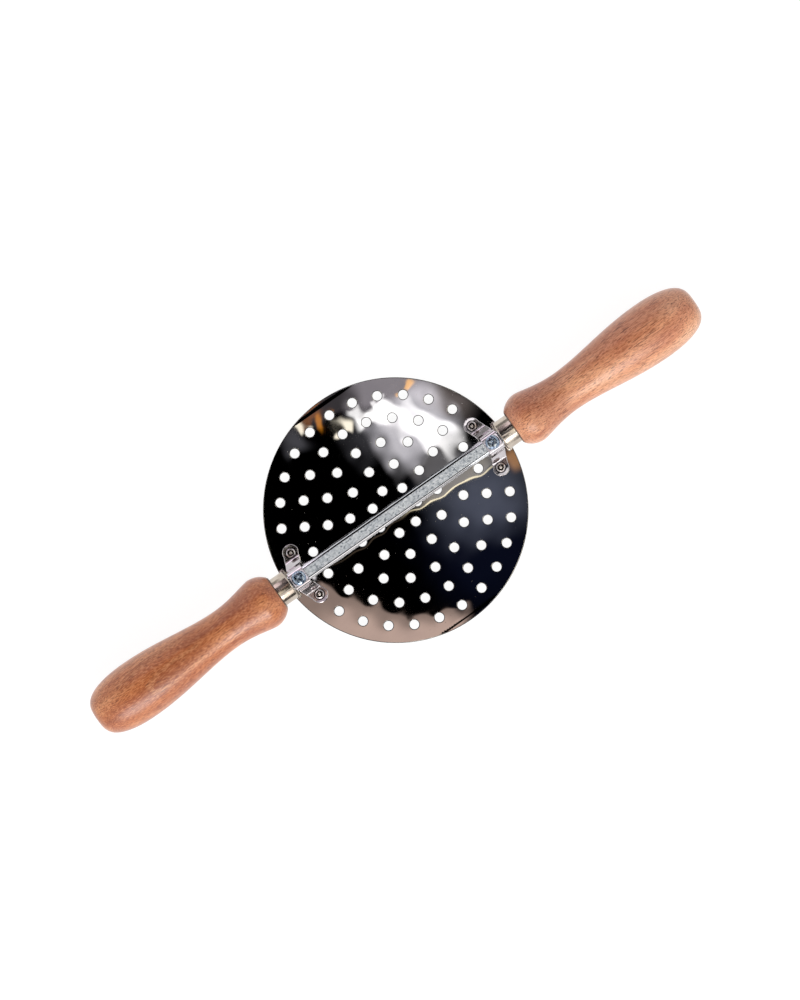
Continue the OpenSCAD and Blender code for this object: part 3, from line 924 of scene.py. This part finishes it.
def nickel():
    """Warm nickel plate over turned brass, with faint tool rings."""
    paint = Paint("nickel_ferrule")
    cloud = paint.noise((260, 340, 340), detail=4)
    rings = paint.noise((5200, 40, 40), detail=2)
    colour = paint.ramp(cloud, (0.3, linear(182, 169, 157)), (0.7, linear(204, 193, 180)))
    haze = paint.ramp(cloud, (0.3, 0.13), (0.7, 0.18))
    return paint.metal(colour, haze, rings, 0.004 * MM, 0.2)


def beech(name, shift, pith, slant, tones, pores_from, ring_scale, ring_share, fleck_share, rear_dark_share):
    """Varnished steamed beech: growth rings round a pith line that runs past the handle at a slant and meets
    its belly, fibres, flecks, a reddish blush, a side that is darker towards the rear, and short dark pores
    along the grain, with painted shade on the neck and a painted shadow line at the shoulder."""
    paint = Paint(name)
    dark, middle, pale = tones
    turn = Euler([math.radians(a) for a in slant])
    start = -(turn.to_matrix() @ (ring_scale * Vector(pith)))
    where = paint.stretched((ring_scale,) * 3, start, turn)
    ripple = {"Vector": where, "Scale": 1.0, "Distortion": 1.4, "Detail": 2.0, "Detail Scale": 0.6}
    rings = paint.node("TexWave", ripple, wave_type="RINGS", rings_direction="X", wave_profile="SAW")
    rings = rings.outputs["Fac"]
    broad = paint.noise((18, 120, 120), shift, detail=3)
    blush = paint.noise((24, 60, 60), shift, detail=2)
    fibre = paint.noise((150, 1700, 1700), shift, detail=3, rough=0.7)
    flecks = paint.noise((430, 2100, 2100), shift, detail=2, rough=0.6)
    pores = paint.noise((95, 1800, 1800), shift, detail=1, rough=0.45)
    parts = paint.parts(paint.place)
    apart = paint.math("ABSOLUTE", parts["X"])
    rear_darkening = paint.fade(parts["Y"], -0.3 * BELLY_R, 0.8 * BELLY_R)
    belly = paint.band(apart, *BELLY_BAND)
    painted_neck_shade = paint.band(apart, *NECK_SHADE_BAND)
    late = paint.ramp(rings, (0.0, ring_share), (0.6, 0.0))
    early = paint.ramp(rings, (0.88, 0.0), (0.96, 0.42 * ring_share))
    layers = (
        (paint.math("MULTIPLY", belly, late), dark),
        (paint.math("MULTIPLY", belly, early), linear(232, 176, 128)),
        (paint.ramp(blush, (0.5, 0.0), (0.72, 0.28)), linear(164, 78, 54)),
        # Painted shade on the neck
        (paint.math("MULTIPLY", painted_neck_shade, 0.4), linear(138, 62, 38)),
        # Darker towards the rear side
        (paint.math("MULTIPLY", rear_darkening, rear_dark_share), linear(160, 84, 58)),
        (paint.ramp(fibre, (0.34, 0.7), (0.5, 0.0)), linear(146, 72, 32)),
        (paint.ramp(flecks, (0.34, fleck_share), (0.49, 0.0)), linear(126, 58, 26)),
        (paint.ramp(flecks, (0.5, 0.0), (0.68, 0.4 * fleck_share)), linear(236, 178, 132)),
        (paint.ramp(pores, (pores_from, 0.0), (pores_from + 0.06, 0.8)), linear(92, 42, 22)),
        # Painted shadow line at the shoulder, where the wood meets the ferrule
        (paint.fade(apart, SHOULDER_X + JOINT_SHADE_W, SHOULDER_X), linear(70, 36, 22)),
    )
    colour = paint.ramp(broad, (0.32, dark), (0.5, middle), (0.7, pale))
    for share, tone in layers:
        colour = paint.blend(share, colour, tone)
    haze = paint.ramp(fibre, (0.3, 0.38), (0.7, 0.5))
    pits = paint.ramp(pores, (pores_from, 0.0), (pores_from + 0.08, 1.0))
    relief = paint.bump(paint.math("SUBTRACT", fibre, pits), 0.02 * MM, 0.3)
    wood = {"Base Color": colour, "Roughness": haze, "Normal": relief, "Specular IOR Level": 0.2}
    varnish = {"Coat Weight": 1.0, "Coat Roughness": 0.34, "Coat IOR": 1.5}
    return paint.principled({**wood, **varnish})


# The object

FINISHES = {
    "polished_steel": polished_steel(),
    "strap_steel": strap_steel(),
    "zinc_plate": zinc_plate(),
    "blue_zinc": blue_zinc(),
    "rivet_steel": rivet_steel(),
    "mandrel_steel": mandrel_steel(),
    "nickel_ferrule": nickel(),
}
BEECH = {
    "left": beech("beech_left", shift=(0.31, 0.07, 0.02), pith=(-0.144, 0.0067, -0.018), slant=(0, -7.9, 1.0),
                  tones=(linear(148, 76, 37), linear(187, 108, 61), linear(216, 146, 97)),
                  pores_from=0.68, ring_scale=59.8, ring_share=0.6, fleck_share=0.8, rear_dark_share=0.08),
    "right": beech("beech_right", shift=(0.12, 0.4, 0.23), pith=(0.130, -0.010, -0.040), slant=(0, -1.5, 0.8),
                   tones=(linear(194, 122, 86), linear(228, 162, 122), linear(242, 189, 151)),
                   pores_from=0.63, ring_scale=60.0, ring_share=0.2, fleck_share=0.6, rear_dark_share=0.5),
}

show("perforated_disc", disc_mesh(), "polished_steel")
show("cross_bar", bar_mesh(), "zinc_plate")
for name, side in SIDES.items():
    show(name + "_bracket", bracket_mesh(side), "strap_steel")
    seat = Matrix.Translation((side * STRAP_X, 0, SCREW_SEAT_Z))
    screw = lathe("screw", screw_profile(), 120, seat, shape=recessed(RECESS_TURN[name]))
    show(name + "_clamp_screw", screw, "blue_zinc")
    ferrule = lathe("ferrule", ferrule_profile(), 96, along_bar(side, FERRULE_LOW.x), closed=True)
    show(name + "_ferrule", ferrule, "nickel_ferrule")
    handle = lathe("handle", handle_profile(), 128, along_bar(side, SHOULDER_X), sharp_angle=50)
    show(name + "_handle", handle, "beech", BEECH[name])
    for row_name, row in ROWS.items():
        stem = name + "_" + row_name
        turn = TAIL_TURNS[0] * side + TAIL_TURNS[1] * row
        place = at_rivet(side, row)
        rivet = lathe("rivet", rivet_profile(), 48, place, closed=True, shape=squeezed(turn))
        show(stem + "_rivet", rivet, "rivet_steel")
        mandrel = lathe("mandrel", mandrel_profile(), 32, place)
        show(stem + "_mandrel", mandrel, "mandrel_steel")


# Camera

lens_view = bpy.data.cameras.new("camera")
lens_view.sensor_width = SENSOR
lens_view.lens = SENSOR * VIEW_HEIGHT / FRAME_HEIGHT
camera = placed("camera", lens_view)
camera.location = (VIEW_X, VIEW_Y, DISC_TOP + VIEW_HEIGHT)
camera.rotation_euler = (0, 0, -math.radians(VIEW_TURN))
bpy.context.scene.camera = camera


# Studio: a white surround and floor, a dark flag overhead that the mirror sheet shows, and a soft key light

FLAG_HEIGHT = 0.5
FLAG_X = 0.34
FLAG_FRONT = -0.24
FLAG_REAR = 1.2
# Screen colours of light
WHITE = (255, 255, 255)
CREAM = (255, 247, 227)
MAUVE = (226, 214, 224)
ROOF_WHITE = (246, 242, 248)
TAUPE = (232, 202, 188)
# Soft patches of light on the flag, in mm by where the rolled disc shows them: x, y, half length and width,
# turn in degrees, softness, colour and strength. Those on the disc:
DISC_PATCHES = (
    (32.8, 32, 19.6, 16.2, 0, 0.34, (240, 238, 246), 0.95),
    (37.9, 24.2, 15.5, 8.6, -63, 0.26, WHITE, 1.25),
    (27.5, 41.5, 6, 5, -45, 0.4, WHITE, 0.9),
    (18.8, 47.2, 10, 4.4, -14, 0.35, WHITE, 1.5),
    (11.4, 54.4, 4.5, 1.7, -57, 0.5, WHITE, 1.3),
    (22.8, 51.9, 3.6, 2.2, 69, 0.5, WHITE, 1.2),
    (8, 40, 9, 9, 0, 0.7, (226, 226, 240), 0.06),
    (33, 8.5, 15, 5, 0, 0.3, (230, 226, 228), 0.2),
    (34, 61, 21, 13, -20, 0.35, (240, 232, 242), 0.42),
    (56, 32, 12, 6, -65, 0.6, (236, 220, 216), 0.22),
    (0, 68, 13, 6, 0, 0.4, (236, 226, 236), 0.07),
    (-24, 64, 6, 6, 0, 0.8, (226, 226, 240), 0.12),
    (41, -20, 22, 17, -20, 0.85, (190, 200, 230), 0.2),
    (41.7, 51.9, 4.5, 2, 9, 0.4, (255, 180, 20), 1.1),
    (-6, 64, 5, 2.2, 39, 0.5, (240, 150, 36), 0.8),
    (-8, 69, 6, 1.8, 0, 0.5, (210, 124, 44), 0.35),
    (2.4, 52.8, 4.2, 3.6, 45, 0.4, CREAM, 1.7),
    (-16, 69, 3.4, 1.8, -69, 0.5, CREAM, 1.6),
    (66, -14, 3.5, 5, 0, 0.6, (236, 170, 104), 0.55),
    (26, -46, 26, 26, 0, 0.7, (130, 150, 240), 0.018),
)
# Those beyond its rim, or under the straps, which only the straps and ferrules show
STRAP_PATCHES = (
    (62, 0, 5, 4.4, 0, 0.2, ROOF_WHITE, 2.4),
    (-62, 0, 5, 4.4, 0, 0.2, ROOF_WHITE, 2.4),
    (60, 120, 6.5, 68, 0, 0.04, WHITE, 2.0),
    (60, -84, 6.5, 32, 0, 0.04, WHITE, 1.4),
    (60, -400, 6.5, 210, 0, 0.02, MAUVE, 0.9),
    (-60, -335, 6.5, 280, 0, 0.02, MAUVE, 1.1),
    (-60, 106, 6.5, 16, 0, 0.1, WHITE, 2.2),
    (119.5, -585, 61.5, 305, 0, 0.02, MAUVE, 2.0),
    (-119.5, -585, 61.5, 305, 0, 0.02, MAUVE, 2.3),
    (126, 100, 54, 84, 0, 0.03, CREAM, 2.3),
    (-92, 100, 20, 84, 0, 0.06, CREAM, 2.2),
)
# The wall round the flag shows as a warm rim in front of the bar, beyond a large circle
WALL_X, WALL_Y = 24.5, 15.3
WALL_R = 82.0
WALL_WIDTH = 22.0
WALL_SOFT = 4.0
WALL_END = (2, -7)
# Each step of its light grows from one reach to another, and from one row to another in front of the bar
WALL_STEPS = ((WALL_R - 1, WALL_R + 1, -6, -9), (WALL_R, WALL_R + 14, -14, -36))
WALL_POWER = 0.48
# A low card shows the bar's own mirror image: a grey strip with a bright line along it
CARD_HEIGHT = 0.1
CARD_PATCHES = (
    (34, -5.6, 22, 2.6, -4, 0.25, (232, 222, 206), 0.4),
    (30.5, -8.2, 23.5, 0.4, -5.5, 0.5, (255, 242, 204), 1.7),
    (-18, -5.7, 27, 0.4, -1.6, 0.5, (200, 176, 150), 0.13),
)


def stage_plane(name, low, high, material):
    """A level or upright stage piece between two corners."""
    mesh = bpy.data.meshes.new(name)
    mesh.from_pydata([low, (high[0], low[1], low[2]), high, (low[0], high[1], high[2])], [], [(0, 1, 2, 3)])
    mesh.materials.append(material)
    made = placed(name, mesh)
    return made


class LitCard(Paint):
    """A card with patches of light, placed in mm by where the rolled disc shows them to the camera."""

    def __init__(self, name, height):
        super().__init__(name)
        across = 1 + height / VIEW_HEIGHT
        along = across - 2 * height / ROLL_R
        self.shown = self.stretched((1 / (across * MM), 1 / (along * MM), 1))
        self.total = None

    def add(self, shader):
        if self.total is not None:
            shader = self.out("AddShader", {0: self.total, 1: shader})
        self.total = shader

    def light(self, weight, colour, strength):
        power = self.math("MULTIPLY", weight, strength)
        self.add(self.out("Emission", {"Color": linear(*colour), "Strength": power}))

    def patch(self, x, y, length, width, turn, soft, colour, strength):
        inputs = {0: self.vector("SUBTRACT", self.shown, (x, y, 0)), "Angle": -math.radians(turn)}
        parts = self.parts(self.out("VectorRotate", inputs, rotation_type="Z_AXIS"))
        weights = []
        for part, half in ((parts["X"], length), (parts["Y"], width)):
            size = self.math("ABSOLUTE", part)
            weights.append(self.fade(size, half * (1 + soft), half * (1 - soft)))
        self.light(self.math("MULTIPLY", *weights), colour, strength)

    def wall(self):
        """The warm rim: it starts sharply, grows paler outwards and ends beside the bar and in front."""
        reach = self.vector("DISTANCE", self.shown, (WALL_X, WALL_Y, 0))
        parts = self.parts(self.shown)
        outer = WALL_R + WALL_WIDTH
        edge = self.fade(reach, outer + WALL_SOFT, outer)
        ends = self.math("MULTIPLY", self.fade(parts["X"], *WALL_END), edge)
        for start, full, row_start, row_full in WALL_STEPS:
            rows = self.fade(parts["Y"], row_start, row_full)
            grown = self.math("MULTIPLY", self.fade(reach, start, full), rows)
            self.light(self.math("MULTIPLY", ends, grown), TAUPE, WALL_POWER)


def flag_material():
    """Black cloth with patches of light."""
    card = LitCard("flag", FLAG_HEIGHT)
    for patch in DISC_PATCHES + STRAP_PATCHES:
        card.patch(*patch)
    card.wall()
    return card.finish(card.total)


def low_card_material():
    """Clear film with patches of light."""
    card = LitCard("low_card", CARD_HEIGHT)
    card.add(card.out("BsdfTransparent"))
    for patch in CARD_PATCHES:
        card.patch(*patch)
    return card.finish(card.total)


def gauze_material():
    """Dark gauze that lets a quarter of the light through."""
    paint = Paint("gauze")
    return paint.finish(paint.out("BsdfTransparent", {"Color": GAUZE_TONE}))


def floor_material():
    """Pale floor: white where it is seen, a little darker in the shadow, and plain white to light."""
    paint = Paint("floor")
    plain = paint.out("BsdfDiffuse", {"Color": FLOOR_TONE})
    shade = paint.out("BsdfDiffuse", {"Color": SHADE_TONE})
    glow = paint.out("Emission", {"Color": linear(*WHITE), "Strength": FLOOR_GLOW})
    shown = paint.out("AddShader", {0: shade, 1: glow})
    return paint.finish_seen(plain, shown)


def white_surround():
    """White where it is seen or mirrored, and a plain level of light elsewhere."""
    paint = Paint("surround", "worlds", "OutputWorld")
    plain = paint.out("Background", {"Color": linear(*WHITE), "Strength": LIGHT_LEVEL})
    shown = paint.out("Background", {"Color": linear(*WHITE), "Strength": SHOWN_LEVEL})
    return paint.finish_seen(plain, shown)


def area_light(name, place, size, power, colour):
    """A soft box that faces the middle of the bar."""
    lamp = bpy.data.lights.new(name, "AREA")
    lamp.shape = "RECTANGLE"
    lamp.size, lamp.size_y = size
    lamp.energy = power
    lamp.color = colour
    made = placed(name, lamp)
    made.location = place
    made.rotation_euler = (Vector((0, 0, AXIS_Z)) - Vector(place)).to_track_quat("-Z", "Y").to_euler()
    made.visible_camera = False
    return made


LIGHT_LEVEL = 0.78
SHOWN_LEVEL = 1.0
FLOOR_TONE = (0.8, 0.8, 0.8, 1)
SHADE_TONE = (0.2, 0.2, 0.2, 1)
FLOOR_GLOW = 0.9
GAUZE_TONE = (0.26, 0.25, 0.245, 1)
FLOOR_REACH = 12.0
FLAG_Z = DISC_TOP + FLAG_HEIGHT
CARD_X, CARD_Y = 0.08, 0.03
CARD_Z = DISC_TOP + CARD_HEIGHT
SCREEN_Y = 0.2
SCREEN_GAP = 0.002
SCREEN_FOOT = 0.001
LOW = 0.09
TALL = 0.3
# Upright gauze screens that the bar, the ferrules and two of the shins show:
# start and end along the bar, row and top
SCREENS = (
    (-0.085, 0.05, FRONT, TALL),
    (-0.085, -0.05, FRONT, LOW),
    (0.072, 0.088, FRONT, LOW),
    (-0.088, -0.072, REAR, LOW),
    (0.045, 0.085, REAR, LOW),
)
stage_plane("floor", (-FLOOR_REACH, -FLOOR_REACH, 0), (FLOOR_REACH, FLOOR_REACH, 0), floor_material())
flag = stage_plane("flag", (-FLAG_X, FLAG_FRONT, FLAG_Z), (FLAG_X, FLAG_REAR, FLAG_Z), flag_material())
low_card = stage_plane("low_card", (-CARD_X, -CARD_Y, CARD_Z), (CARD_X, CARD_Y, CARD_Z), low_card_material())
cards = [low_card]
gauze = gauze_material()
for k, (start, end, row, top) in enumerate(SCREENS):
    y = row * (SCREEN_Y - k * SCREEN_GAP)
    cards.append(stage_plane("screen_%d" % k, (start, y, SCREEN_FOOT), (end, y, top), gauze))
for card in cards:
    card.visible_shadow = False
    card.visible_diffuse = False
for card in cards + [flag]:
    card.visible_camera = False
bpy.context.scene.world = white_surround()
area_light("key", place=(-0.35, -1.0, 0.78), size=(0.84, 0.7), power=11.5, colour=(1.0, 0.97, 0.94))
rear = area_light("rear", place=(-0.1, 1.0, 0.45), size=(1.6, 0.4), power=2.8, colour=(1.0, 0.97, 0.95))
rear.visible_glossy = False

bpy.context.scene.view_settings.view_transform = "Standard"
